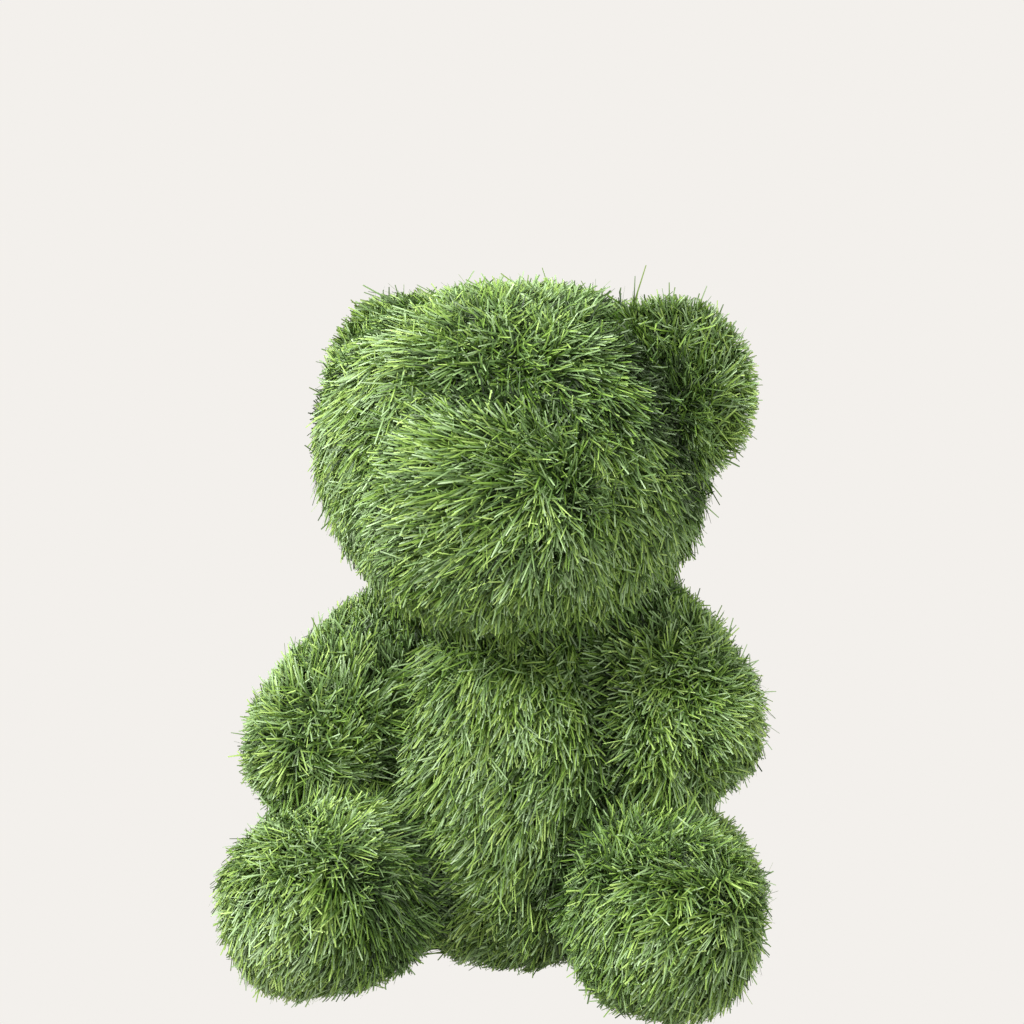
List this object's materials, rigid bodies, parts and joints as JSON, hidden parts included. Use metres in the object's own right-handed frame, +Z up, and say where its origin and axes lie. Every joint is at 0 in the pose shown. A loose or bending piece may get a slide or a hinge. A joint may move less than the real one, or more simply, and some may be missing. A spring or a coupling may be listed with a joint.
{
  "type": "artificial grass bear statue",
  "caption": "Seated bear figure covered all over with combed artificial grass, with round cupped ears, a full muzzle, hanging arms and legs stretched forward.",
  "frame": {"origin": "middle of the flat underside of the seat, on the ground", "axes": "+Z up, the bear faces -Y, its left side is on +X"},
  "size_m": [0.3846, 0.299, 0.4855],
  "materials": {
    "grass": "artificial grass of polyethylene yarn in several greens, combed close to the body"
  },
  "bodies": {
    "root": {"bear": "grass"}
  },
  "joints": []
}
